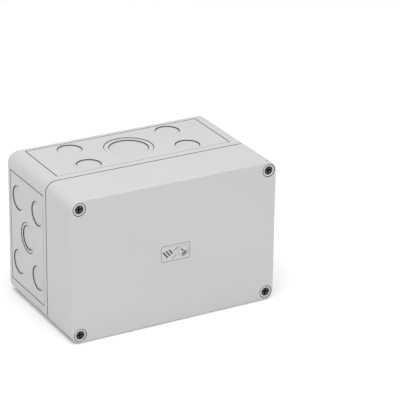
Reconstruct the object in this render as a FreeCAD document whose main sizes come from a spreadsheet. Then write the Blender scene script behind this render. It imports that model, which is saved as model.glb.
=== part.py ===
"""Surface-mounted electrical junction box, standing on its long side.

Units are millimetres. X runs to the right, Y from the lid towards the wall and Z up. The origin is the
centre of the back face, so every place inside the box is given as a depth, measured from that face
towards the lid (depth = -Y).
"""

import FreeCAD, Part
import math
import os
import Sketcher

DIMENSIONS = {
    # enclosure
    "width": 180.0,
    "height": 120.0,
    "depth": 113.0,
    "lid_depth": 43.0,
    "seam_gap": 1.1,
    "base_inset": 0.1,
    "wall": 3.0,
    "end_wall": 2.5,
    "lid_corner": 8.8,
    "base_corner": 8.8,
    "lid_edge": 1.5,
    "base_edge": 1.2,
    "seam_edge": 0.25,
    "cavity_corner": 3.0,
    "notch_width": 23.5,
    "notch_height": 12.5,
    # seal between base and lid
    "tongue_width": 1.4,
    "tongue_height": 3.0,
    "tongue_play": 0.3,
    "groove_depth": 5.0,
    "rib_width": 1.4,
    "rib_root": 2.0,
    "gasket_play": 0.1,
    # wall fixing and lid screws
    "screw_from_side": 7.2,
    "screw_from_top": 7.3,
    "fixing_from_screw": 11.9,
    "fixing_drop": 0.7,
    "fixing_radius": 2.4,
    "fixing_well_radius": 4.5,
    "fixing_floor": 6.0,
    "core_depth": 34.0,
    "bush_radius": 5.45,
    "bush_seat_radius": 5.5,
    "bush_nose_radius": 5.0,
    "bush_nose": 0.9,
    "bush_sink": 0.1,
    "bush_length": 8.0,
    "bush_floor": 1.5,
    "head_well_radius": 3.6,
    "washer_radius": 3.45,
    "washer_hole_radius": 2.15,
    "washer_thickness": 1.0,
    "head_radius": 3.5,
    "head_height": 4.4,
    "head_edge": 0.3,
    "recess_length": 5.2,
    "recess_width": 1.2,
    "recess_depth": 2.8,
    "shank_radius": 1.95,
    "shank_bore_radius": 2.2,
    "screw_radius": 2.0,
    "thread_root_radius": 1.7,
    "thread_pitch": 0.7,
    "thread_clear": 0.2,
    "thread_runout": 1.0,
    "screw_reach": 10.0,
    "insert_radius": 2.75,
    "insert_seat_radius": 2.8,
    "insert_bore_radius": 2.05,
    "insert_length": 8.0,
    "pilot_length": 14.0,
    "seal_hole_radius": 0.75,
    "seal_hole_depth": 5.0,
    "seal_hole_from_front": 2.5,
    "seal_hole_from_side": 7.6,
    # sunk panel lines and knockouts
    "panel_from_back": 4.8,
    "long_panel_from_rim": 6.3,
    "short_panel_from_rim": 4.55,
    "panel_from_side": 13.0,
    "panel_from_top": 12.6,
    "line_width": 0.74,
    "front_line_width": 0.3,
    "line_depth": 1.2,
    "small_radius": 10.25,
    "long_side_back": 17.8,
    "long_side_middle": 34.6,
    "long_side_front": 51.6,
    "short_side_back": 18.8,
    "short_side_middle": 35.8,
    "short_side_front": 53.3,
    "long_side_spread": 43.9,
    "short_side_spread": 27.6,
    "long_inner_radius": 16.25,
    "long_outer_radius": 20.25,
    "short_inner_radius": 10.25,
    "short_outer_radius": 12.75,
    "knockout_slit": 0.5,
    "knockout_web": 0.6,
    "knockout_sink": 0.75,
    "ring_sink": 0.4,
    "web_play": 0.05,
    # label
    "label_width": 25.7,
    "label_height": 13.9,
    "label_corner": 1.5,
    "label_thickness": 0.3,
    "label_play": 0.1,
    # domes and mounting rail
    "rail_dome_radius": 4.5,
    "rail_dome_height": 8.0,
    "rail_dome_spread": 60.0,
    "rail_length": 136.0,
    "rail_width": 35.0,
    "rail_web_width": 27.0,
    "rail_height": 7.5,
    "rail_sheet": 1.0,
    "rail_slot_length": 15.0,
    "rail_slot_width": 6.2,
    "rail_slot_pitch": 25.0,
    "rail_slot_flat": 0.02,
    "rail_screw_radius": 1.95,
    "rail_screw_bore_radius": 2.0,
    "rail_screw_length": 6.5,
    "rail_screw_head_radius": 3.9,
    "rail_screw_head": 2.6,
    "rail_hole_radius": 2.3,
    "plate_dome_radius": 3.5,
    "plate_dome_height": 6.0,
    "plate_dome_x": 46.0,
    "plate_dome_z": 34.0,
    "plate_bore_radius": 1.5,
    "dome_floor": 1.0,
    # terminals
    "terminal_pitch": 8.0,
    "terminal_depth": 56.0,
    "terminal_shoulder": 44.0,
    "terminal_half_height": 22.0,
    "terminal_top_half": 16.5,
    "terminal_wall": 1.4,
    "hook_depth": 14.5,
    "hook_lip": 16.9,
    "hook_inner": 14.0,
    "hook_outer": 17.7,
    "core_off_centre": 0.7,
    "bar_depth": 39.4,
    "bar_thickness": 1.2,
    "bar_width": 3.8,
    "bar_half_length": 18.5,
    "clamp_z": 12.8,
    "clamp_half_width": 2.9,
    "clamp_half_height": 2.8,
    "clamp_plate": 1.4,
    "clamp_side": 0.8,
    "clamp_bottom": 37.4,
    "clamp_top": 46.6,
    "clamp_travel": 3.0,
    "chamber_play": 0.4,
    "entry_radius": 1.95,
    "entry_depth": 37.4,
    "clamp_thread_radius": 1.55,
    "clamp_screw_radius": 1.5,
    "clamp_root_radius": 1.25,
    "clamp_thread_pitch": 0.5,
    "clamp_screw_tip": 41.3,
    "clamp_head_radius": 2.2,
    "clamp_head_seat": 48.2,
    "clamp_head_height": 2.2,
    "clamp_well_radius": 2.5,
    "clamp_neck_radius": 1.75,
    "clamp_slot_width": 0.8,
    "clamp_slot_depth": 1.0,
    "marker_half_height": 5.0,
    "marker_half_width": 2.6,
    "marker_sink": 1.5,
    "marker_proud": 0.4,
    "marker_edge": 0.3,
    "end_plate_thickness": 1.5,
    "end_plate_play": 0.6,
    "stop_width": 6.0,
    "stop_shoulder": 30.0,
    "stop_depth": 40.0,
    "stop_half_height": 20.5,
    "stop_front_half": 12.0,
    "stop_rib_height": 2.5,
    "stop_rib_half": 9.0,
}

doc = FreeCAD.newDocument("junction_box")
sheet = doc.addObject("Spreadsheet::Sheet", "dims")
for row, (alias, number) in enumerate(DIMENSIONS.items(), 1):
    sheet.set(f"A{row}", alias)
    sheet.set(f"B{row}", str(number))
    sheet.setAlias(f"B{row}", alias)
doc.recompute()

# Places worked out from the cells. Lengths along the depth are counted from the back face.
RIM = "(dims.depth - dims.lid_depth - dims.seam_gap)"
LID_BACK = "(dims.depth - dims.lid_depth)"
BASE_HALF_WIDTH = "(dims.width / 2 - dims.base_inset)"
BASE_HALF_HEIGHT = "(dims.height / 2 - dims.base_inset)"
CAVITY_HALF_WIDTH = f"({BASE_HALF_WIDTH} - dims.wall)"
CAVITY_HALF_HEIGHT = f"({BASE_HALF_HEIGHT} - dims.wall)"
TONGUE_TIP = f"({RIM} + dims.tongue_height)"
GROOVE_FLOOR = f"({LID_BACK} + dims.groove_depth)"
RIB_ROOT = f"({GROOVE_FLOOR} + dims.rib_root)"
SCREW_X = "(dims.width / 2 - dims.screw_from_side)"
SCREW_Z = "(dims.height / 2 - dims.screw_from_top)"
FIXING_X = f"({SCREW_X} - dims.fixing_from_screw)"
FIXING_Z = f"({SCREW_Z} - dims.fixing_drop)"
BUSH_FRONT = "(dims.depth - dims.bush_sink)"
BUSH_BACK = "(dims.depth - dims.bush_length)"
WASHER_SEAT = f"({BUSH_BACK} + dims.bush_floor)"
HEAD_SEAT = f"({WASHER_SEAT} + dims.washer_thickness)"
HEAD_FRONT = f"({HEAD_SEAT} + dims.head_height)"
SCREW_TIP = f"({RIM} - dims.screw_reach)"
RAIL_SEAT = "(dims.end_wall + dims.rail_dome_height)"
RAIL_FRONT = f"({RAIL_SEAT} + dims.rail_height)"

CORNERS = ((1, 1), (-1, 1), (-1, -1), (1, -1))
TERMINALS = ("l1", "l2", "l3", "n", "pe")
LEVELS = (("upper", 1), ("lower", -1))


def value(expression):
    """The number that an expression over the sheet gives."""
    return float(sheet.evalExpression(expression))


def signed(sign, expression):
    return expression if sign > 0 else f"-({expression})"


def corners(x, z):
    """The four mirror images of a point."""
    return [(signed(sx, x), signed(sz, z)) for sx, sz in CORNERS]


# ---------------------------------------------------------------- sketches


def new_body(name):
    body = doc.addObject("PartDesign::Body", name)
    body.Label = name
    body.AllowCompound = True
    return body


def new_sketch(body, role, offset):
    """A sketch parallel to one of the body's own origin planes, moved along its normal."""
    sketch = body.newObject("Sketcher::SketchObject", f"{body.Name}_sketch")
    plane = next(f for f in body.Origin.OriginFeatures if f.Role == role)
    sketch.AttachmentSupport = [(plane, "")]
    sketch.MapMode = "FlatFace"
    if offset != "0":
        sketch.setExpression("AttachmentOffset.Base.z", offset)
    return sketch


def bind(sketch, constraint, expression):
    """Add a constraint with a size and bind that size to the sheet."""
    index = sketch.addConstraint(Sketcher.Constraint(*constraint, value(expression)))
    sketch.setExpression(f"Constraints[{index}]", expression)


def place(sketch, geometry, point, x, y):
    """Hold a point of the sketch at the expressions x and y."""
    for kind, axis, expression in (("DistanceX", -2, x), ("DistanceY", -1, y)):
        if expression == "0":
            sketch.addConstraint(Sketcher.Constraint("PointOnObject", geometry, point, axis))
        else:
            bind(sketch, (kind, -1, 1, geometry, point), expression)


def circles(sketch, centres, *radii):
    """A set of concentric circles at each centre."""
    for x, y in centres:
        for radius in radii:
            middle = FreeCAD.Vector(value(x), value(y), 0)
            circle = Part.Circle(middle, FreeCAD.Vector(0, 0, 1), value(radius))
            index = sketch.addGeometry(circle)
            place(sketch, index, 3, x, y)
            bind(sketch, ("Radius", index), radius)
    return sketch


def polygon(sketch, points):
    """A closed outline of straight lines with each corner held at its expressions."""
    at = [FreeCAD.Vector(value(x), value(y), 0) for x, y in points]
    lines = [sketch.addGeometry(Part.LineSegment(a, b)) for a, b in zip(at, at[1:] + at[:1])]
    for line, (x, y) in zip(lines, points):
        place(sketch, line, 1, x, y)
    for line, following in zip(lines, lines[1:] + lines[:1]):
        sketch.addConstraint(Sketcher.Constraint("Coincident", line, 2, following, 1))
    return sketch


def rectangle(sketch, half_width, half_height, x="0", y="0"):
    """A rectangle about a centre, from four bound corners."""
    left, right = f"{x} - ({half_width})", f"{x} + ({half_width})"
    low, high = f"{y} - ({half_height})", f"{y} + ({half_height})"
    return polygon(sketch, [(left, low), (right, low), (right, high), (left, high)])


def rounded(sketch, half_width, half_height, radius, x="0"):
    """A rectangle with round corners, centred at x on the sketch's first axis."""
    centre, a, b, r = (value(e) for e in (x, half_width, half_height, radius))
    middles = [(a - r, r - b), (a - r, b - r), (r - a, b - r), (r - a, r - b)]
    middles = [FreeCAD.Vector(centre + u, v, 0) for u, v in middles]
    pieces = []
    for turn, middle in enumerate(middles):
        start = (turn - 1) * math.pi / 2
        end = start + math.pi / 2
        circle = Part.Circle(middle, FreeCAD.Vector(0, 0, 1), r)
        pieces.append(sketch.addGeometry(Part.ArcOfCircle(circle, start, end)))
        reach = FreeCAD.Vector(math.cos(end), math.sin(end), 0) * r
        side = Part.LineSegment(middle + reach, middles[(turn + 1) % 4] + reach)
        pieces.append(sketch.addGeometry(side))
    for piece, following in zip(pieces, pieces[1:] + pieces[:1]):
        sketch.addConstraint(Sketcher.Constraint("Tangent", piece, 2, following, 1))
    for arc in pieces[2::2]:
        sketch.addConstraint(Sketcher.Constraint("Equal", pieces[0], arc))
    bind(sketch, ("Radius", pieces[0]), radius)
    right, top, left, bottom = pieces[1::2]
    sides = (
        (right, "Vertical", "DistanceX", f"{x} + ({half_width})"),
        (top, "Horizontal", "DistanceY", half_height),
        (left, "Vertical", "DistanceX", f"{x} - ({half_width})"),
        (bottom, "Horizontal", "DistanceY", f"-({half_height})"),
    )
    for line, direction, axis, place_of_side in sides:
        sketch.addConstraint(Sketcher.Constraint(direction, line))
        bind(sketch, (axis, -1, 1, line, 1), place_of_side)
    return sketch


# ---------------------------------------------------------------- features


def pad(body, sketch, length, backwards=False):
    feature = body.newObject("PartDesign::Pad", f"{body.Name}_pad")
    feature.Profile = sketch
    feature.setExpression("Length", length)
    feature.Reversed = backwards
    sketch.Visibility = False
    return feature


def pocket(body, sketch, length, forwards=False):
    """Cut against the sketch's normal, or along it when forwards is set; it has to remove something."""
    doc.recompute()
    before = body.Shape.Volume
    feature = body.newObject("PartDesign::Pocket", f"{body.Name}_pocket")
    feature.Profile = sketch
    feature.setExpression("Length", length)
    feature.Reversed = forwards
    doc.recompute()
    if body.Shape.Volume > before - 0.01:
        raise RuntimeError(f"a pocket of {body.Name} cuts nothing")
    return feature


def on_front(body, depth):
    """A sketch facing the lid side at a depth; pads from it run towards the lid."""
    return new_sketch(body, "XZ_Plane", depth)


def post(body, centres, radius, start, end):
    """Round stems between two depths."""
    return pad(body, circles(on_front(body, start), centres, radius), f"{end} - ({start})")


def bore(body, centres, radius, start, length):
    """Round holes that begin at the depth start and run towards the back."""
    return pocket(body, circles(on_front(body, start), centres, radius), length)


def fillet(body, radius, depth):
    """Round every edge that lies at one depth."""
    doc.recompute()
    at = value(depth)
    flat = [all(abs(-v.Point.y - at) < 1e-4 for v in edge.Vertexes) for edge in body.Shape.Edges]
    names = [f"Edge{i}" for i, lies_there in enumerate(flat, 1) if lies_there]
    base = body.Tip
    feature = body.newObject("PartDesign::Fillet", f"{body.Name}_fillet")
    feature.Base = (base, names)
    feature.setExpression("Radius", radius)
    doc.recompute()
    return feature


def rings(body, centre, root, rim, start, end, pitch):
    """Thread drawn as equal ring grooves around a stem, between two depths."""
    count = int((value(end) - value(start)) / value(pitch))
    groove = circles(on_front(body, f"{start} + {pitch}"), [centre], root, f"{rim} + dims.thread_clear")
    cut = pocket(body, groove, f"{pitch} / 2")
    pattern = body.newObject("PartDesign::LinearPattern", f"{body.Name}_thread")
    pattern.Originals = [cut]
    pattern.Direction = (groove, ["N_Axis"])
    pattern.Occurrences = count
    pattern.setExpression("Length", f"{pitch} * {count - 1}")
    body.Tip = pattern
    doc.recompute()
    return pattern


def slots(body, centres, half_length, half_width, depth, sink, crossed=False):
    """Screwdriver slots, single or crossed, sunk into a head's front."""
    ways = [(half_length, half_width)] + [(half_width, half_length)] * crossed
    for half_x, half_z in ways:
        sketch = on_front(body, depth)
        for x, z in centres:
            rectangle(sketch, half_x, half_z, x, z)
        pocket(body, sketch, sink)


# ---------------------------------------------------------------- base and lid


def cavity_arms(body, start, grow="0"):
    """The two rounded rectangles that cross to make the cavity's outline, grown by a margin."""
    across = (CAVITY_HALF_WIDTH, f"{CAVITY_HALF_HEIGHT} - dims.notch_height")
    upright = (f"{CAVITY_HALF_WIDTH} - dims.notch_width", CAVITY_HALF_HEIGHT)
    for half_width, half_height in (across, upright):
        sketch = on_front(body, start)
        yield rounded(
            sketch, f"{half_width} + {grow}", f"{half_height} + {grow}", f"dims.cavity_corner + {grow}"
        )


SIDES = {
    "top": ("XY_Plane", 1, BASE_HALF_HEIGHT),
    "bottom": ("XY_Plane", -1, BASE_HALF_HEIGHT),
    "left": ("YZ_Plane", -1, BASE_HALF_WIDTH),
    "right": ("YZ_Plane", 1, BASE_HALF_WIDTH),
}


def knockout_layout(side):
    """Centres of the four small knockouts and the double one, and the double one's two radii."""
    if SIDES[side][0] == "XY_Plane":
        depths = ("-dims.long_side_back", "-dims.long_side_front")
        spreads = ("dims.long_side_spread", "-dims.long_side_spread")
        small = [(spread, depth) for spread in spreads for depth in depths]
        return small, ("0", "-dims.long_side_middle"), "dims.long_inner_radius", "dims.long_outer_radius"
    depths = ("-dims.short_side_back", "-dims.short_side_front")
    spreads = ("dims.short_side_spread", "-dims.short_side_spread")
    small = [(depth, spread) for spread in spreads for depth in depths]
    return small, ("-dims.short_side_middle", "0"), "dims.short_inner_radius", "dims.short_outer_radius"


def panel_line(body, side):
    """The sunk line that frames a side's panel; it is narrower along the front."""
    role, sign, reach = SIDES[side]
    long_side = role == "XY_Plane"
    from_rim = "dims.long_panel_from_rim" if long_side else "dims.short_panel_from_rim"
    sketch = new_sketch(body, role, signed(sign, reach))
    for inset, front_inset in (("0", "0"), ("dims.line_width", "dims.front_line_width")):
        back, front = f"dims.panel_from_back + {inset}", f"({RIM} - {from_rim} - {front_inset})"
        half_depth, middle = f"({front} - ({back})) / 2", f"-({front} + {back}) / 2"
        if long_side:
            half_x = f"({BASE_HALF_WIDTH} - dims.panel_from_side - {inset})"
            rectangle(sketch, half_x, half_depth, "0", middle)
        else:
            half_z = f"({BASE_HALF_HEIGHT} - dims.panel_from_top - {inset})"
            rectangle(sketch, half_depth, half_z, middle, "0")
    pocket(body, sketch, "dims.line_depth", forwards=sign < 0)


def knockout_holes(body, side):
    role, sign, reach = SIDES[side]
    small, middle, _, outer_radius = knockout_layout(side)
    sketch = circles(new_sketch(body, role, signed(sign, reach)), small, "dims.small_radius")
    circles(sketch, [middle], outer_radius)
    pocket(body, sketch, "dims.wall + dims.line_depth", forwards=sign < 0)


def base_box():
    body = new_body("base_box")
    outline = rounded(on_front(body, "0"), BASE_HALF_WIDTH, BASE_HALF_HEIGHT, "dims.base_corner")
    pad(body, outline, RIM)
    fillet(body, "dims.base_edge", "0")
    fillet(body, "dims.seam_edge", RIM)
    for arm in cavity_arms(body, RIM, "dims.tongue_width"):
        pad(body, arm, "dims.tongue_height")
    for arm in cavity_arms(body, TONGUE_TIP):
        pocket(body, arm, f"{TONGUE_TIP} - dims.end_wall")
    rail_domes = [("dims.rail_dome_spread", "0"), ("-dims.rail_dome_spread", "0")]
    plate_domes = corners("dims.plate_dome_x", "dims.plate_dome_z")
    plate_top = "(dims.end_wall + dims.plate_dome_height)"
    post(body, rail_domes, "dims.rail_dome_radius", "dims.end_wall", RAIL_SEAT)
    post(body, plate_domes, "dims.plate_dome_radius", "dims.end_wall", plate_top)
    rail_bore = "dims.rail_dome_height - dims.dome_floor"
    bore(body, rail_domes, "dims.rail_screw_bore_radius", RAIL_SEAT, rail_bore)
    bore(body, plate_domes, "dims.plate_bore_radius", plate_top, "dims.plate_dome_height - dims.dome_floor")
    screws = corners(SCREW_X, SCREW_Z)
    bore(body, screws, "dims.shank_bore_radius", RIM, "dims.pilot_length")
    bore(body, screws, "dims.insert_seat_radius", RIM, "dims.insert_length")
    fixings = corners(FIXING_X, FIXING_Z)
    bore(body, fixings, "dims.fixing_well_radius", RIM, f"{RIM} - dims.fixing_floor")
    bore(body, fixings, "dims.fixing_radius", "dims.fixing_floor", "dims.fixing_floor")
    for side in SIDES:
        panel_line(body, side)
        knockout_holes(body, side)
    return body


def knockouts(side):
    """Break-out pieces of one side: a thin web at the inner face and a sunk outer face."""
    role, sign, reach = SIDES[side]
    small, middle, inner_radius, outer_radius = knockout_layout(side)
    inner_face = f"({reach} - dims.wall)"
    web_top = f"({inner_face} + dims.knockout_web)"
    rise = "dims.wall - dims.knockout_web"
    body = new_body(f"knockouts_{side}")

    def discs(centres, radius, sink, hole=None):
        """Discs, or rings round a hole, with a narrow gap at the web and a slit above it."""
        holes = [hole] if hole else []
        layers = (
            (inner_face, "dims.knockout_web", "dims.web_play"),
            (web_top, f"{rise} - ({sink})", "dims.knockout_slit"),
        )
        for start, length, play in layers:
            sketch = new_sketch(body, role, signed(sign, start))
            circles(sketch, centres, *holes, f"{radius} - {play}")
            pad(body, sketch, length, backwards=sign < 0)

    discs(small, "dims.small_radius", "dims.knockout_sink")
    discs([middle], inner_radius, "dims.knockout_sink + dims.ring_sink")
    discs([middle], outer_radius, "dims.ring_sink", hole=inner_radius)
    return body


def lid():
    body = new_body("lid")
    half_width, half_height = "dims.width / 2", "dims.height / 2"
    outline = rounded(on_front(body, LID_BACK), half_width, half_height, "dims.lid_corner")
    pad(body, outline, "dims.lid_depth")
    fillet(body, "dims.lid_edge", "dims.depth")
    fillet(body, "dims.seam_edge", LID_BACK)
    for arm in cavity_arms(body, LID_BACK, "dims.tongue_width + dims.tongue_play"):
        pocket(body, arm, "dims.groove_depth", forwards=True)
    for arm in cavity_arms(body, LID_BACK, "-dims.tongue_play"):
        pad(body, arm, "dims.groove_depth")
    for arm in cavity_arms(body, LID_BACK, "-(dims.tongue_play + dims.rib_width)"):
        pocket(body, arm, f"{RIB_ROOT} - {LID_BACK}", forwards=True)
    for arm in cavity_arms(body, RIB_ROOT):
        pocket(body, arm, f"dims.depth - dims.end_wall - {RIB_ROOT}", forwards=True)
    screws = corners(SCREW_X, SCREW_Z)
    bore(body, screws, "dims.shank_bore_radius", "dims.depth", "dims.lid_depth")
    bore(body, screws, "dims.bush_seat_radius", "dims.depth", "dims.bush_length")
    cores = circles(on_front(body, LID_BACK), corners(FIXING_X, FIXING_Z), "dims.fixing_well_radius")
    pocket(body, cores, "dims.core_depth", forwards=True)
    field = rounded(
        on_front(body, "dims.depth"), "dims.label_width / 2", "dims.label_height / 2", "dims.label_corner"
    )
    pocket(body, field, "dims.label_thickness")
    seal_depth = "-(dims.depth - dims.seal_hole_from_front)"
    for sign in (1, -1):
        sketch = new_sketch(body, "XY_Plane", signed(sign, half_height))
        across = signed(sign, f"({half_width} - dims.seal_hole_from_side)")
        circles(sketch, [(across, seal_depth)], "dims.seal_hole_radius")
        pocket(body, sketch, "dims.seal_hole_depth", forwards=sign < 0)
    return body


def lid_gasket():
    body = new_body("lid_gasket")
    outer = "dims.tongue_width + dims.tongue_play - dims.gasket_play"
    inner = "dims.gasket_play - dims.tongue_play"
    for arm in cavity_arms(body, TONGUE_TIP, outer):
        pad(body, arm, f"{GROOVE_FLOOR} - {TONGUE_TIP}")
    for arm in cavity_arms(body, GROOVE_FLOOR, inner):
        pocket(body, arm, f"{GROOVE_FLOOR} - {TONGUE_TIP}")
    return body


def label_plate():
    body = new_body("label_plate")
    outline = rounded(
        on_front(body, "dims.depth - dims.label_thickness"),
        "dims.label_width / 2 - dims.label_play",
        "dims.label_height / 2 - dims.label_play",
        "dims.label_corner - dims.label_play",
    )
    pad(body, outline, "dims.label_thickness")
    return body


# ---------------------------------------------------------------- lid screws


def lid_screw_bushes():
    body = new_body("lid_screw_bushes")
    screws = corners(SCREW_X, SCREW_Z)
    nose_back = f"({BUSH_FRONT} - dims.bush_nose)"
    stages = (
        (BUSH_BACK, WASHER_SEAT, "dims.shank_bore_radius", "dims.bush_radius"),
        (WASHER_SEAT, nose_back, "dims.head_well_radius", "dims.bush_radius"),
        (nose_back, BUSH_FRONT, "dims.head_well_radius", "dims.bush_nose_radius"),
    )
    for start, end, hole, rim in stages:
        pad(body, circles(on_front(body, start), screws, hole, rim), f"{end} - ({start})")
    fillet(body, "dims.seam_edge", BUSH_FRONT)
    return body


def lid_screw_inserts():
    body = new_body("lid_screw_inserts")
    start = f"({RIM} - dims.insert_length)"
    ring = circles(
        on_front(body, start), corners(SCREW_X, SCREW_Z), "dims.insert_bore_radius", "dims.insert_radius"
    )
    pad(body, ring, "dims.insert_length")
    return body


def lid_screw_washer(number, centre):
    body = new_body(f"lid_screw_washer_{number}")
    ring = circles(
        on_front(body, WASHER_SEAT), [centre], "dims.washer_hole_radius", "dims.washer_radius"
    )
    pad(body, ring, "dims.washer_thickness")
    return body


def lid_screw(number, centre):
    body = new_body(f"lid_screw_{number}")
    thread_end = f"({LID_BACK} + dims.thread_runout)"
    post(body, [centre], "dims.screw_radius", SCREW_TIP, thread_end)
    post(body, [centre], "dims.shank_radius", thread_end, HEAD_SEAT)
    post(body, [centre], "dims.head_radius", HEAD_SEAT, HEAD_FRONT)
    fillet(body, "dims.head_edge", HEAD_FRONT)
    rings(
        body, centre, "dims.thread_root_radius", "dims.screw_radius", SCREW_TIP, thread_end,
        "dims.thread_pitch",
    )
    slots(
        body, [centre], "dims.recess_length / 2", "dims.recess_width / 2", HEAD_FRONT,
        "dims.recess_depth", crossed=True,
    )
    return body


# ---------------------------------------------------------------- rail and terminals


def mounting_rail():
    body = new_body("mounting_rail")
    web, edge = "dims.rail_web_width / 2", "dims.rail_width / 2"
    back, front = f"-{RAIL_SEAT}", f"-{RAIL_FRONT}"
    web_front, flange_back = f"{back} - dims.rail_sheet", f"{front} + dims.rail_sheet"
    half = [
        (back, web), (flange_back, web), (flange_back, edge), (front, edge),
        (front, f"{web} - dims.rail_sheet"), (web_front, f"{web} - dims.rail_sheet"),
    ]
    other = [(y, f"-({z})") for y, z in reversed(half)]
    sketch = polygon(new_sketch(body, "YZ_Plane", "-dims.rail_length / 2"), half + other)
    pad(body, sketch, "dims.rail_length")
    for step in (-1.5, -0.5, 0.5, 1.5):
        slot = rounded(
            on_front(body, f"{RAIL_SEAT} + dims.rail_sheet"), "dims.rail_slot_length / 2",
            "dims.rail_slot_width / 2", "(dims.rail_slot_width - dims.rail_slot_flat) / 2",
            f"{step} * dims.rail_slot_pitch",
        )
        pocket(body, slot, "dims.rail_sheet")
    holes = [("dims.rail_dome_spread", "0"), ("-dims.rail_dome_spread", "0")]
    bore(body, holes, "dims.rail_hole_radius", f"{RAIL_SEAT} + dims.rail_sheet", "dims.rail_sheet")
    return body


def rail_screws():
    body = new_body("rail_screws")
    places = [("dims.rail_dome_spread", "0"), ("-dims.rail_dome_spread", "0")]
    seat = f"({RAIL_SEAT} + dims.rail_sheet)"
    top = f"({seat} + dims.rail_screw_head)"
    post(body, places, "dims.rail_screw_radius", f"{seat} - dims.rail_screw_length", seat)
    post(body, places, "dims.rail_screw_head_radius", seat, top)
    fillet(body, "dims.head_edge", top)
    slots(body, places, "dims.recess_length / 2", "dims.recess_width / 2", top, "dims.recess_width", True)
    return body


def clip_outline(half_height, shoulder, front, front_half):
    """Profile of a piece that hooks over both flanges of the rail, as depth and height."""
    upper = [
        (f"-{RAIL_FRONT}", "dims.hook_outer"), ("-dims.hook_lip", "dims.hook_outer"),
        ("-dims.hook_lip", "dims.hook_inner"), ("-dims.hook_depth", "dims.hook_inner"),
        ("-dims.hook_depth", half_height), (f"-{shoulder}", half_height), (f"-{front}", front_half),
    ]
    return upper + [(y, f"-{z}") for y, z in reversed(upper)]


def terminal_left(index):
    """Left side of a terminal, counted from the middle of the row."""
    return f"(dims.terminal_pitch * {index - len(TERMINALS) / 2})"


def terminal_core(index):
    """Middle of the current-carrying parts in a terminal's width."""
    return f"({terminal_left(index)} + dims.terminal_pitch / 2 + dims.core_off_centre)"


def terminal_housing(index, name):
    body = new_body(f"terminal_{name}")
    left = terminal_left(index)
    outline = clip_outline(
        "dims.terminal_half_height", "dims.terminal_shoulder", "dims.terminal_depth", "dims.terminal_top_half"
    )
    pad(body, polygon(new_sketch(body, "YZ_Plane", left), outline), "dims.terminal_pitch")
    inside = "dims.terminal_pitch - dims.terminal_wall"
    open_side = f"{left} + dims.terminal_pitch"
    channel = rectangle(
        new_sketch(body, "YZ_Plane", open_side), "dims.bar_thickness / 2 + dims.chamber_play",
        "dims.bar_half_length", "-(dims.bar_depth + dims.bar_thickness / 2)", "0",
    )
    pocket(body, channel, inside)
    chambers = new_sketch(body, "YZ_Plane", open_side)
    for _, sign in LEVELS:
        rectangle(
            chambers, "(dims.clamp_top - dims.clamp_bottom + dims.clamp_travel) / 2 + dims.chamber_play",
            "dims.clamp_half_height + dims.chamber_play",
            "-(dims.clamp_top + dims.clamp_bottom - dims.clamp_travel) / 2", signed(sign, "dims.clamp_z"),
        )
    pocket(body, chambers, inside)
    core = terminal_core(index)
    wells = [(core, signed(sign, "dims.clamp_z")) for _, sign in LEVELS]
    bore(body, wells, "dims.clamp_neck_radius", "dims.terminal_depth", "dims.terminal_depth - dims.clamp_top")
    bore(
        body, wells, "dims.clamp_well_radius", "dims.terminal_depth",
        "dims.terminal_depth - dims.clamp_head_seat",
    )
    for _, sign in LEVELS:
        entry = new_sketch(body, "XY_Plane", signed(sign, "dims.terminal_half_height"))
        circles(entry, [(core, "-dims.entry_depth")], "dims.entry_radius")
        pocket(body, entry, "dims.terminal_half_height - dims.clamp_z", forwards=sign < 0)
    tag = rectangle(
        on_front(body, "dims.terminal_depth"), "dims.marker_half_width", "dims.marker_half_height",
        f"{left} + dims.terminal_pitch / 2", "0",
    )
    pocket(body, tag, "dims.marker_sink")
    return body


def current_bar(index, name):
    body = new_body(f"current_bar_{name}")
    outline = rectangle(
        new_sketch(body, "YZ_Plane", f"{terminal_core(index)} - dims.bar_width / 2"),
        "dims.bar_thickness / 2", "dims.bar_half_length",
        "-(dims.bar_depth + dims.bar_thickness / 2)", "0",
    )
    pad(body, outline, "dims.bar_width")
    return body


def clamp_cage(index, name, level, sign):
    body = new_body(f"clamp_cage_{name}_{level}")
    core, height = terminal_core(index), signed(sign, "dims.clamp_z")
    middle = "-(dims.clamp_top + dims.clamp_bottom) / 2"
    half_depth = "(dims.clamp_top - dims.clamp_bottom) / 2"
    outline = rectangle(
        new_sketch(body, "XY_Plane", f"{height} - dims.clamp_half_height"),
        "dims.clamp_half_width", half_depth, core, middle,
    )
    pad(body, outline, "dims.clamp_half_height * 2")
    window = rectangle(
        new_sketch(body, "XY_Plane", f"{height} + dims.clamp_half_height"),
        "dims.clamp_half_width - dims.clamp_side", f"{half_depth} - dims.clamp_plate", core, middle,
    )
    pocket(body, window, "dims.clamp_half_height * 2")
    bore(body, [(core, height)], "dims.clamp_thread_radius", "dims.clamp_top", "dims.clamp_plate")
    return body


def terminal_screw(index, name, level, sign):
    body = new_body(f"terminal_screw_{name}_{level}")
    centre = (terminal_core(index), signed(sign, "dims.clamp_z"))
    head = "(dims.clamp_head_seat + dims.clamp_head_height)"
    post(body, [centre], "dims.clamp_screw_radius", "dims.clamp_screw_tip", "dims.clamp_head_seat")
    post(body, [centre], "dims.clamp_head_radius", "dims.clamp_head_seat", head)
    rings(
        body, centre, "dims.clamp_root_radius", "dims.clamp_screw_radius", "dims.clamp_screw_tip",
        "dims.clamp_top", "dims.clamp_thread_pitch",
    )
    slots(
        body, [centre], "dims.clamp_head_radius", "dims.clamp_slot_width / 2", head, "dims.clamp_slot_depth"
    )
    return body


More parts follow.
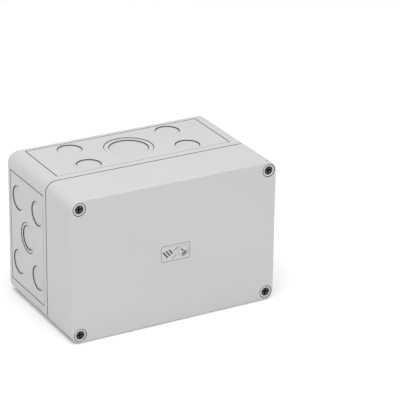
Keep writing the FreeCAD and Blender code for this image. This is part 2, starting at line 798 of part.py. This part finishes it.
def terminal_end_plate():
    body = new_body("terminal_end_plate")
    upper = [
        (f"-({RAIL_FRONT} + dims.end_plate_play)", "dims.terminal_half_height"),
        ("-dims.terminal_shoulder", "dims.terminal_half_height"),
        ("-dims.terminal_depth", "dims.terminal_top_half"),
    ]
    outline = upper + [(y, f"-{z}") for y, z in reversed(upper)]
    sketch = polygon(new_sketch(body, "YZ_Plane", terminal_left(len(TERMINALS))), outline)
    pad(body, sketch, "dims.end_plate_thickness")
    return body


def rail_end_stop(side, start):
    """Clip-on stop: hooks over the rail and carries a narrow grip rib on its front."""
    body = new_body(f"rail_end_stop_{side}")
    outline = clip_outline(
        "dims.stop_half_height", "dims.stop_shoulder", "dims.stop_depth", "dims.stop_front_half"
    )
    pad(body, polygon(new_sketch(body, "YZ_Plane", start), outline), "dims.stop_width")
    rib = rectangle(
        on_front(body, "dims.stop_depth"), "dims.stop_width / 6", "dims.stop_rib_half",
        f"{start} + dims.stop_width / 2", "0",
    )
    pad(body, rib, "dims.stop_rib_height")
    return body


def terminal_markers():
    body = new_body("terminal_markers")
    back = "(dims.terminal_depth - dims.marker_sink)"
    sketch = on_front(body, back)
    for index in range(len(TERMINALS)):
        middle = f"{terminal_left(index)} + dims.terminal_pitch / 2"
        rectangle(sketch, "dims.marker_half_width", "dims.marker_half_height", middle, "0")
    pad(body, sketch, "dims.marker_sink + dims.marker_proud")
    fillet(body, "dims.marker_edge", f"{back} + dims.marker_sink + dims.marker_proud")
    return body


def build():
    screw_places = corners(SCREW_X, SCREW_Z)
    parts = [base_box(), lid(), lid_gasket(), label_plate(), lid_screw_bushes(), lid_screw_inserts()]
    parts += [knockouts(side) for side in SIDES]
    for number, centre in enumerate(screw_places, 1):
        parts.append(lid_screw_washer(number, centre))
        parts.append(lid_screw(number, centre))
    parts += [mounting_rail(), rail_screws(), terminal_end_plate(), terminal_markers()]
    first, last = terminal_left(0), terminal_left(len(TERMINALS))
    parts.append(rail_end_stop("left", f"({first} - dims.stop_width)"))
    parts.append(rail_end_stop("right", f"({last} + dims.end_plate_thickness)"))
    for index, name in enumerate(TERMINALS):
        parts += [terminal_housing(index, name), current_bar(index, name)]
        for level, sign in LEVELS:
            parts.append(clamp_cage(index, name, level, sign))
            parts.append(terminal_screw(index, name, level, sign))
    return parts


def write(parts):
    """Check every object and solid, then write one STEP file for each sub-part."""
    doc.recompute()
    failed = [o.Name for o in doc.Objects if "Invalid" in o.State or "Error" in o.State]
    failed += [p.Label for p in parts if p.Shape.isNull() or not p.Shape.isValid()]
    if failed:
        raise RuntimeError(f"not built: {failed}")
    os.makedirs("parts", exist_ok=True)
    for part in parts:
        part.Shape.exportStep(f"parts/{part.Label}.step")
        print(part.Label, len(part.Shape.Solids), round(part.Shape.Volume, 1))


write(build())
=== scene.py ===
"""Looks of a surface-mounted electrical junction box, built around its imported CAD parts.

Units are metres. X runs to the right, Y from the lid towards the wall and Z up, as in the CAD model.
"""

import math

import bmesh
import bpy
from mathutils import Matrix, Vector


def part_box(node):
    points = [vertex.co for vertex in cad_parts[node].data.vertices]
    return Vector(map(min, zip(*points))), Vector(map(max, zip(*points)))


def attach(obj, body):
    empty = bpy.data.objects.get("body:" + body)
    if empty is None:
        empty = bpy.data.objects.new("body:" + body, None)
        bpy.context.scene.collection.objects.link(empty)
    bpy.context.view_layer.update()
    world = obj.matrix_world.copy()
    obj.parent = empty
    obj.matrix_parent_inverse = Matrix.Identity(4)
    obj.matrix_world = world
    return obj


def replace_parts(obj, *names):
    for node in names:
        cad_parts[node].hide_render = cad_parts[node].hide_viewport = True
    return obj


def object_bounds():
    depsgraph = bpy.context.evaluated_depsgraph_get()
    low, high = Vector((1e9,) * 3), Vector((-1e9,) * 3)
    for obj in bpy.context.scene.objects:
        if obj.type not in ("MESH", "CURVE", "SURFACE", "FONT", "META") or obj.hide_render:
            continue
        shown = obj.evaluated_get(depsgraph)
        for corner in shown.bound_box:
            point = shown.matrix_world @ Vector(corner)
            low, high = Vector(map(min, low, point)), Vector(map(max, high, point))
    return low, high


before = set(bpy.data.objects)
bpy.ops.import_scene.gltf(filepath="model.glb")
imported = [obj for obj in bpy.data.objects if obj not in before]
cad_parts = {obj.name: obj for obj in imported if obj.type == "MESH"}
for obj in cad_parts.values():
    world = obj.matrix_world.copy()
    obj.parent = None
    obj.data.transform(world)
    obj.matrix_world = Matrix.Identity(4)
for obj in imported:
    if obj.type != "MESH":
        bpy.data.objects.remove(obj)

MM = 0.001
CAD_LOW, CAD_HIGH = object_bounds()
CENTRE = (CAD_LOW + CAD_HIGH) / 2

# The camera looks at the box from its left, a little above, through a long lens. It is offset in its own
# plane, so the box stands left of the middle of the picture.
VIEW_AZIMUTH = math.radians(-29.61)
VIEW_ELEVATION = math.radians(23.50)
VIEW_ROLL = math.radians(0.82)
VIEW_DISTANCE = 1.782
VIEW_OFFSET = (0.04666, 0.02053)
SENSOR_WIDTH = 36.0
LENS = 201.37

# Painted shade darkens narrow gaps on the outside only. Surfaces further in than these walls count as inside.
FRONT_WALL = 5 * MM
SIDE_WALL = 2.7 * MM
# Up to the first height above the floor no gap gets painted shade, and from the second on every one gets it.
SHADE_FREE_HEIGHT = 2 * MM
FULL_SHADE_HEIGHT = 3 * MM
# How far a gap's surroundings count, and the open shares at which its painted shade is full and at which
# there is none.
GAP_REACH = 2.2 * MM
GAP_CLOSED = 0.58
GAP_OPEN = 0.93


# ---------------------------------------------------------------- materials


class Finish:
    """A Principled material whose detail is worked out in the piece's own coordinates."""

    def __init__(self, name, **sockets):
        self.material = bpy.data.materials.new(name)
        self.material.use_nodes = True
        self.tree = self.material.node_tree
        self.shader = self.tree.nodes["Principled BSDF"]
        for socket, number in sockets.items():
            self.shader.inputs[socket.replace("_", " ")].default_value = number
        self.place = self.add("ShaderNodeTexCoord").outputs["Object"]

    def add(self, kind, inputs=None, **settings):
        node = self.tree.nodes.new(kind)
        for setting, choice in settings.items():
            setattr(node, setting, choice)
        for socket, source in (inputs or {}).items():
            if isinstance(source, bpy.types.NodeSocket):
                self.tree.links.new(source, node.inputs[socket])
            else:
                node.inputs[socket].default_value = source
        return node

    def link(self, source, socket):
        self.tree.links.new(source, self.shader.inputs[socket])

    def noise(self, size, detail, stretch=None):
        """Noise whose lumps measure about size metres, squeezed by the factors in stretch."""
        place = self.place
        if stretch:
            place = self.add("ShaderNodeMapping", {"Vector": place, "Scale": stretch}).outputs[0]
        inputs = {"Vector": place, "Scale": 1 / size, "Detail": detail}
        return self.add("ShaderNodeTexNoise", inputs).outputs[0]

    def remap(self, source, low, high, start=0.3, end=0.7):
        """Stretch source from the range start to end onto low to high, and hold it at the ends beyond."""
        inputs = {"Value": source, "From Min": start, "From Max": end, "To Min": low, "To Max": high}
        return self.add("ShaderNodeMapRange", inputs).outputs[0]

    def math(self, operation, first, second):
        return self.add("ShaderNodeMath", {0: first, 1: second}, operation=operation).outputs[0]

    def mix(self, factor, first, second):
        """Colour between first and second, which are colours or sockets."""
        node = self.add("ShaderNodeMix", data_type="RGBA")
        for index, source in ((0, factor), (6, first), (7, second)):
            if isinstance(source, bpy.types.NodeSocket):
                self.tree.links.new(source, node.inputs[index])
            else:
                node.inputs[index].default_value = source
        return node.outputs[2]

    def bump(self, height, distance, under=None):
        inputs = {"Height": height, "Distance": distance}
        if under:
            inputs["Normal"] = under
        return self.add("ShaderNodeBump", inputs).outputs[0]

    def painted_crevice_shade(self):
        """Painted-shade mask: 0 deep in the outside's narrow gaps and grooves; 1 on open surfaces, inside and
        by the floor.
        """
        # Ambient occlusion decides where shade is painted into the colour.
        shelter = self.add("ShaderNodeAmbientOcclusion", {"Distance": GAP_REACH}, samples=12)
        gap = self.remap(shelter.outputs["AO"], 0.0, 1.0, GAP_CLOSED, GAP_OPEN)
        x, y, z = self.add("ShaderNodeSeparateXYZ", {0: self.place}).outputs
        by_floor = self.remap(z, 1.0, 0.0, CAD_LOW.z + SHADE_FREE_HEIGHT, CAD_LOW.z + FULL_SHADE_HEIGHT)
        inside = self.math("GREATER_THAN", y, CAD_LOW.y + FRONT_WALL)
        for across, outside in ((x, CAD_HIGH.x), (z, CAD_HIGH.z)):
            aside = self.math("ABSOLUTE", across, 0.0)
            inside = self.math("MULTIPLY", inside, self.math("LESS_THAN", aside, outside - SIDE_WALL))
        return self.math("MAXIMUM", gap, self.math("MAXIMUM", by_floor, inside))


def shade(colour, factor=1.0):
    """A colour made lighter or darker, with full opacity."""
    return (*(channel * factor for channel in colour[:3]), 1.0)


def clouded(finish, colour, spread):
    """Colour that drifts in large flow clouds and a small speckle."""
    clouds = finish.math("MULTIPLY", finish.noise(45 * MM, 3.0), 0.6)
    speckle = finish.math("MULTIPLY", finish.noise(0.9 * MM, 3.0), 0.4)
    tone = finish.remap(finish.math("ADD", clouds, speckle), 0.0, 1.0)
    return finish.mix(tone, shade(colour, 1 - spread), shade(colour, 1 + spread))


def moulded(
    name, colour, grain=0.45 * MM, depth=0.012 * MM, roughness=(0.42, 0.52), spread=0.02, gap_shade_strength=0.0,
):
    """Moulded plastic: an eroded mould's fine grain, faint flow clouds and a sheen that varies a little.

    spread is how far its colour drifts, and the last argument how much painted shade darkens its narrow gaps.
    """
    finish = Finish(name, IOR=1.5, Specular_IOR_Level=0.42)
    tone = clouded(finish, colour, spread)
    if gap_shade_strength:
        # Painted shade: the colour darkens in narrow outside gaps, grooves and seams, by the occlusion mask.
        tone = finish.mix(finish.painted_crevice_shade(), shade(colour, 1 - gap_shade_strength), tone)
    finish.link(tone, "Base Color")
    finish.link(finish.remap(finish.noise(6 * MM, 4.0), *roughness), "Roughness")
    waves = finish.bump(finish.noise(35 * MM, 1.0), 0.25 * MM)
    finish.link(finish.bump(finish.noise(grain, 4.0), depth, waves), "Normal")
    return finish.material


TERMINAL = {"grain": 0.3 * MM, "depth": 0.008 * MM, "roughness": (0.34, 0.46)}


def two_coloured():
    """Earth terminal: green above its middle and yellow below."""
    finish = Finish("terminal_earth", IOR=1.5, Specular_IOR_Level=0.42)
    height = finish.add("ShaderNodeSeparateXYZ", {0: finish.place}).outputs["Z"]
    upper = finish.math("GREATER_THAN", height, 0.0)
    green = clouded(finish, (0.030, 0.210, 0.050), 0.06)
    yellow = clouded(finish, (0.720, 0.560, 0.030), 0.05)
    finish.link(finish.mix(upper, yellow, green), "Base Color")
    finish.link(finish.remap(finish.noise(3 * MM, 4.0), *TERMINAL["roughness"]), "Roughness")
    finish.link(finish.bump(finish.noise(TERMINAL["grain"], 4.0), TERMINAL["depth"]), "Normal")
    return finish.material


def metal(name, colour, stain, roughness, stretch):
    """Plated or turned metal: fine tool marks along one way, and a stain that dulls it in clouds.

    stretch squeezes the marks along each axis.
    """
    finish = Finish(name, Metallic=1.0)
    marks = finish.noise(0.6 * MM, 4.0, stretch)
    clouds = finish.noise(4 * MM, 5.0)
    bright = finish.mix(finish.remap(marks, 0.0, 1.0), shade(colour, 0.94), shade(colour, 1.06))
    finish.link(finish.mix(finish.remap(clouds, 0.0, 0.35, 0.45, 0.75), bright, shade(stain)), "Base Color")
    sheen = finish.math("ADD", finish.math("MULTIPLY", marks, 0.5), finish.math("MULTIPLY", clouds, 0.5))
    finish.link(finish.remap(sheen, *roughness), "Roughness")
    finish.link(finish.bump(marks, 0.006 * MM), "Normal")
    return finish.material


def rubber(name, colour, roughness=(0.62, 0.78)):
    """Matt rubber or foam skin with fine pores and a dusty bloom."""
    finish = Finish(name, IOR=1.48, Specular_IOR_Level=0.35)
    bloom = finish.remap(finish.noise(4 * MM, 5.0), 0.0, 0.5, 0.4, 0.7)
    finish.link(finish.mix(bloom, shade(colour), shade(colour, 1.7)), "Base Color")
    finish.link(finish.remap(finish.noise(2 * MM, 3.0), *roughness), "Roughness")
    finish.link(finish.bump(finish.noise(0.25 * MM, 4.0), 0.03 * MM), "Normal")
    return finish.material


def ink(name, colour):
    """Printing ink, a little thin and uneven."""
    finish = Finish(name, Specular_IOR_Level=0.3)
    cover = finish.remap(finish.noise(0.5 * MM, 4.0), 0.0, 1.0, 0.35, 0.75)
    finish.link(finish.mix(cover, shade(colour, 1.35), shade(colour, 0.85)), "Base Color")
    finish.link(finish.remap(finish.noise(1 * MM, 2.0), 0.45, 0.6), "Roughness")
    return finish.material


def blackened():
    """Dark passivated screw: glossy, with scattered scuffs that show grey."""
    finish = Finish("dark_screw", IOR=1.55, Specular_IOR_Level=0.7)
    scuffs = finish.remap(finish.noise(0.7 * MM, 5.0), 0.0, 0.6, 0.55, 0.8)
    dark, scuffed = shade((0.008, 0.008, 0.009)), shade((0.045, 0.045, 0.047))
    finish.link(finish.mix(scuffs, dark, scuffed), "Base Color")
    finish.link(finish.remap(finish.noise(1.2 * MM, 3.0), 0.2, 0.36), "Roughness")
    finish.link(finish.bump(finish.noise(0.4 * MM, 4.0), 0.01 * MM), "Normal")
    return finish.material


PLASTIC = (0.522, 0.524, 0.511)
LID_PLASTIC = (0.522, 0.525, 0.515)
# The moulded plastics get painted shade in their narrow outside gaps; the last argument sets how dark it is.
MATERIALS = {
    "enclosure": moulded("enclosure_plastic", PLASTIC, gap_shade_strength=0.93),
    "lid": moulded("lid_plastic", LID_PLASTIC, gap_shade_strength=0.93),
    "bush": moulded(
        "bush_plastic", shade(LID_PLASTIC, 1.03),
        grain=0.3 * MM, depth=0.005 * MM, roughness=(0.3, 0.4), gap_shade_strength=0.9,
    ),
    "label": moulded(
        "label_film", shade(LID_PLASTIC, 1.01),
        grain=0.8 * MM, depth=0.004 * MM, roughness=(0.34, 0.42), spread=0.008, gap_shade_strength=0.5,
    ),
    "dark_screw": blackened(),
    "seal": rubber("foam_seal", (0.060, 0.061, 0.063)),
    "washer": rubber("rubber_washer", (0.022, 0.022, 0.023), roughness=(0.5, 0.65)),
    "brass": metal(
        "brass", (0.78, 0.57, 0.27),
        stain=(0.42, 0.27, 0.12), roughness=(0.22, 0.36), stretch=(1, 6, 1),
    ),
    "zinc": metal(
        "zinc_plate", (0.66, 0.68, 0.71),
        stain=(0.45, 0.46, 0.47), roughness=(0.24, 0.42), stretch=(1, 5, 5),
    ),
    "copper": metal(
        "tinned_copper", (0.74, 0.70, 0.64),
        stain=(0.60, 0.42, 0.30), roughness=(0.25, 0.38), stretch=(6, 1, 1),
    ),
    "terminal_grey": moulded("terminal_grey", (0.115, 0.120, 0.126), spread=0.05, **TERMINAL),
    "terminal_blue": moulded("terminal_blue", (0.020, 0.085, 0.330), spread=0.05, **TERMINAL),
    "terminal_green_yellow": two_coloured(),
    "marker": moulded(
        "marker_tag", (0.74, 0.74, 0.72), grain=0.4 * MM, depth=0.006 * MM, roughness=(0.38, 0.48),
    ),
}
FRAME_INK = ink("frame_ink", (0.250, 0.250, 0.246))
MARK_INK = ink("mark_ink", (0.050, 0.050, 0.050))


def dress(slot, material):
    """Give every CAD node of a record slot its finish."""
    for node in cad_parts.values():
        for place in node.material_slots:
            if place.material and place.material.name == slot:
                place.material = material


for slot, material in MATERIALS.items():
    dress(slot, material)


# ---------------------------------------------------------------- pieces


def piece(name, vertices, faces, slot, body, material=None, smooth=True):
    """A new mesh that rides on a CAD body and takes its finish from a record slot."""
    mesh = bpy.data.meshes.new(name)
    mesh.from_pydata(vertices, [], faces)
    work = bmesh.new()
    work.from_mesh(mesh)
    bmesh.ops.recalc_face_normals(work, faces=work.faces)
    work.to_mesh(mesh)
    work.free()
    mesh.polygons.foreach_set("use_smooth", [smooth] * len(mesh.polygons))
    mesh.materials.append(material or MATERIALS[slot])
    thing = bpy.data.objects.new(name, mesh)
    bpy.context.scene.collection.objects.link(thing)
    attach(thing, body)
    return thing


def arc(x, z, radius, start, end, steps=8):
    """Points on an arc, with angles in degrees."""
    angles = [math.radians(start + (end - start) * step / steps) for step in range(steps + 1)]
    return [Vector((x + radius * math.cos(a), z + radius * math.sin(a))) for a in angles]


def ring(x, z, radius, steps):
    """Points round a closed circle."""
    return arc(x, z, radius, 0, 360, steps)[:-1]


def rounded_outline(half_width, half_height, radius):
    """Points round a rectangle with rounded corners, about the origin."""
    a, b = half_width - radius, half_height - radius
    points = arc(a, b, radius, 0, 90) + arc(-a, b, radius, 90, 180)
    return points + arc(-a, -b, radius, 180, 270) + arc(a, -b, radius, 270, 360)


def closed_sweep(path, section):
    """Vertices and faces of a closed section carried round a closed path in the XZ plane.

    The section's points are (outwards from the path, along Y).
    """
    count, around = len(path), len(section)
    vertices = []
    for index, point in enumerate(path):
        along = (path[(index + 1) % count] - path[index - 1]).normalized()
        out = Vector((along.y, -along.x))
        for aside, depth in section:
            at = point + out * aside
            vertices.append((at.x, depth, at.y))
    faces = []
    for i in range(count):
        for j in range(around):
            k, m = (i + 1) % count, (j + 1) % around
            faces.append((i * around + j, k * around + j, k * around + m, i * around + m))
    return vertices, faces


def oval(half_width, half_depth, middle, power, steps=20):
    """A section between an ellipse (power 1) and a rectangle (power near 0), with its middle at a depth."""
    points = []
    for step in range(steps):
        angle = 2 * math.pi * step / steps
        c, s = math.cos(angle), math.sin(angle)
        aside = half_width * math.copysign(abs(c) ** power, c)
        points.append((aside, middle + half_depth * math.copysign(abs(s) ** power, s)))
    return points


def gasket():
    """Foam seal in the lid's groove: a bead with a domed face, laid round the cavity and its notches."""
    low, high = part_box("lid_gasket")
    corner, hollow = 3.7 * MM, 1.2 * MM
    half_bead, half_groove = 0.88 * MM, 0.9 * MM
    half_x, half_z = high.x - half_groove, high.z - half_groove
    notch_width, notch_height = 23.5 * MM, 12.5 * MM
    notch_x, notch_z = half_x - notch_width, half_z - notch_height
    quarter = arc(half_x - corner, notch_z - corner, corner, 0, 90)
    quarter += arc(notch_x + hollow, notch_z + hollow, hollow, 270, 180)
    quarter += arc(notch_x - corner, half_z - corner, corner, 0, 90)
    path = quarter + [Vector((-p.x, p.y)) for p in reversed(quarter)]
    path += [-p for p in quarter] + [Vector((p.x, -p.y)) for p in reversed(quarter)]
    bead = oval(half_bead, (high.y - low.y) / 2, (high.y + low.y) / 2, power=0.55)
    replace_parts(piece("gasket_bead", *closed_sweep(path, bead), "seal", "cover"), "lid_gasket")


def washers():
    """Sealing washers under the lid screws: round-edged rubber rings."""
    bore = 2.15 * MM
    for number in range(1, 5):
        node = f"lid_screw_washer_{number}"
        low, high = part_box(node)
        middle = (low + high) / 2
        outer = (high.x - low.x) / 2
        path = ring(middle.x, middle.z, (outer + bore) / 2, 48)
        section = oval((outer - bore) / 2, (high.y - low.y) / 2, middle.y, power=0.6, steps=16)
        washer = piece(f"washer_ring_{number}", *closed_sweep(path, section), "washer", f"washer_{number}")
        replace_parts(washer, node)


def label_print():
    """A printed frame and a few plain marks, too thin to feel, on the label's film."""
    low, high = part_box("label_plate")
    face, proud = low.y, 0.03 * MM
    frame_inset, frame_corner, half_frame_line = 0.35 * MM, 1.3 * MM, 0.2 * MM
    ring_x, ring_z, ring_radius, half_ring_line = 6.9 * MM, 0.3 * MM, 4.6 * MM, 0.16 * MM

    def line(half_width):
        """Section of a printed line that stands proud of the film."""
        sides = ((-half_width, 0), (half_width, 0), (half_width, proud), (-half_width, proud))
        return [(aside, face - rise) for aside, rise in sides]

    half_x, half_z = (high.x - low.x) / 2 - frame_inset, (high.z - low.z) / 2 - frame_inset
    outline = closed_sweep(rounded_outline(half_x, half_z, frame_corner), line(half_frame_line))
    piece("label_frame", *outline, "label", "cover", FRAME_INK, smooth=False)
    circle = closed_sweep(ring(ring_x, ring_z, ring_radius, 40), line(half_ring_line))
    piece("label_ring", *circle, "label", "cover", FRAME_INK, smooth=False)

    vertices, faces = [], []

    def bar(x, z, length, width, angle):
        """A round-ended bar of ink; sizes in millimetres, the angle in degrees."""
        half = (length - width) / 2
        ends = arc(half, 0, width / 2, -90, 90, 6) + arc(-half, 0, width / 2, 90, 270, 6)
        turn = Matrix.Rotation(math.radians(angle), 2)
        points = [(turn @ p + Vector((x, z))) * MM for p in ends]
        first, count = len(vertices), len(points)
        for depth in (face, face - proud):
            vertices.extend((p.x, depth, p.y) for p in points)
        faces.append(tuple(range(first, first + count)))
        faces.append(tuple(range(first + 2 * count - 1, first + count - 1, -1)))
        for i in range(count):
            j = (i + 1) % count
            faces.append((first + i, first + j, first + count + j, first + count + i))

    # Three long bars, two rows of three short ones beside them, and three bars in the ring.
    steep, shallow = -52, 38
    for step in range(3):
        bar(-8.9 + 2.4 * step, -0.7 + 0.9 * step, 6.8 - 0.7 * step, 1.2, steep)
        bar(-1.3 + 1.7 * step, 2.0 + 1.0 * step, 1.2, 0.95, shallow)
        bar(-2.9 + 1.6 * step, -4.6 + 1.0 * step, 1.1, 0.8, shallow)
    bar(6.0, 1.0, 3.2, 1.0, steep)
    for step in range(2):
        bar(7.4 + 0.9 * step, -1.5 - 1.2 * step, 4.8, 1.0, shallow)
    piece("label_marks", vertices, faces, "label", "cover", MARK_INK, smooth=False)


gasket()
washers()
label_print()


# ---------------------------------------------------------------- stage


def floor():
    """A wide pale floor at the box's foot."""
    mesh = bpy.data.meshes.new("floor")
    reach, level = 6.0, CAD_LOW.z
    corners = [(-reach, -reach, level), (reach, -reach, level), (reach, reach, level), (-reach, reach, level)]
    mesh.from_pydata(corners, [], [(0, 1, 2, 3)])
    plane = bpy.data.objects.new("floor", mesh)
    bpy.context.scene.collection.objects.link(plane)
    finish = Finish("floor_paint", Roughness=0.9, Specular_IOR_Level=0.0)
    dull, white = (0.94, 0.94, 0.94, 1), (0.96, 0.96, 0.96, 1)
    finish.link(finish.mix(finish.noise(80 * MM, 3.0), dull, white), "Base Color")
    mesh.materials.append(finish.material)


def softbox(name, direction, distance, size, power):
    """A square area light that faces the box from a direction."""
    light = bpy.data.lights.new(name, "AREA")
    light.shape = "SQUARE"
    light.size = size
    light.energy = power
    lamp = bpy.data.objects.new(name, light)
    bpy.context.scene.collection.objects.link(lamp)
    towards = Vector(direction).normalized()
    lamp.location = CENTRE + towards * distance
    lamp.rotation_mode = "QUATERNION"
    lamp.rotation_quaternion = towards.to_track_quat("Z", "Y")


def surroundings(brightness):
    """Even white light from all round."""
    world = bpy.data.worlds.new("studio")
    world.use_nodes = True
    background = world.node_tree.nodes["Background"]
    background.inputs["Color"].default_value = (1, 1, 1, 1)
    background.inputs["Strength"].default_value = brightness
    bpy.context.scene.world = world


def camera():
    """The camera, turned to the box, moved back along its view and offset in its own plane."""
    turn, rise = VIEW_AZIMUTH, VIEW_ELEVATION
    back = Vector((
        math.sin(turn) * math.cos(rise),
        -math.cos(turn) * math.cos(rise),
        math.sin(rise),
    ))
    level_right = Vector((math.cos(turn), math.sin(turn), 0))
    level_up = back.cross(level_right)
    right = level_right * math.cos(VIEW_ROLL) + level_up * math.sin(VIEW_ROLL)
    up = level_up * math.cos(VIEW_ROLL) - level_right * math.sin(VIEW_ROLL)
    eye = bpy.data.cameras.new("camera")
    eye.lens = LENS
    eye.sensor_width = SENSOR_WIDTH
    eye.clip_start = 0.01
    eye.clip_end = 50.0
    holder = bpy.data.objects.new("camera", eye)
    bpy.context.scene.collection.objects.link(holder)
    place = CENTRE + back * VIEW_DISTANCE + right * VIEW_OFFSET[0] + up * VIEW_OFFSET[1]
    axes = Matrix((right, up, back)).transposed().to_4x4()
    holder.matrix_world = Matrix.Translation(place) @ axes
    bpy.context.scene.camera = holder


floor()
surroundings(brightness=0.67)
softbox("overhead", direction=(-0.15, -0.25, 1.0), distance=1.6, size=1.6, power=22.0)
softbox("front", direction=(-0.2, -1.0, 0.3), distance=1.8, size=1.2, power=0.6)
camera()
bpy.context.scene.view_settings.view_transform = "Standard"
